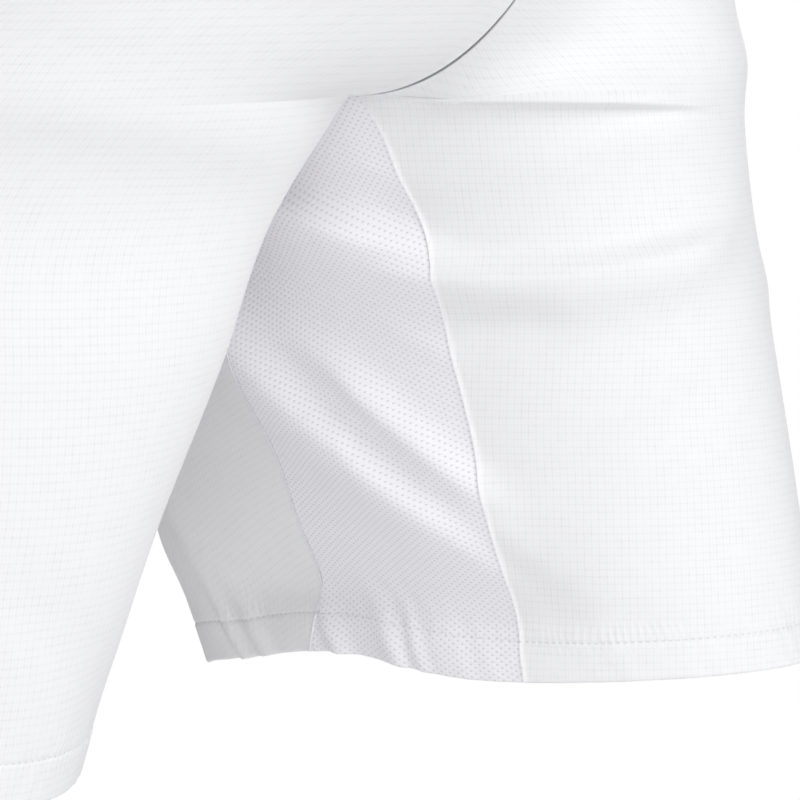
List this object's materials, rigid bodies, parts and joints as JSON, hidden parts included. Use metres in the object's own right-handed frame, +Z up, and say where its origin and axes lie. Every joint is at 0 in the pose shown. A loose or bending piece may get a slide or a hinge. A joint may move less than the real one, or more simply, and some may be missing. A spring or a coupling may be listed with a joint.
{
  "type": "tennis shorts",
  "caption": "Loose white tennis shorts in a walking pose, with woven legs, mesh inner-thigh inserts and an elastic waist.",
  "frame": {"origin": "middle of the waistband, on the wearer's centre line, where the waist holds the shorts up", "axes": "+Z up the wearer's body, the wearer faces -Y, +X to the wearer's left"},
  "size_m": [0.3996, 0.4105, 0.541],
  "materials": {
    "woven_cloth": "light plain woven polyester with a fine grid, slight sheen",
    "mesh_knit": "fine open mesh knit, matte",
    "waistband_cloth": "the woven cloth over elastic, softly gathered"
  },
  "bodies": {
    "root": {"front_left": "woven_cloth", "front_right": "woven_cloth", "back_left": "woven_cloth", "back_right": "woven_cloth", "insert_left": "mesh_knit", "insert_right": "mesh_knit", "waistband": "waistband_cloth"}
  },
  "joints": []
}
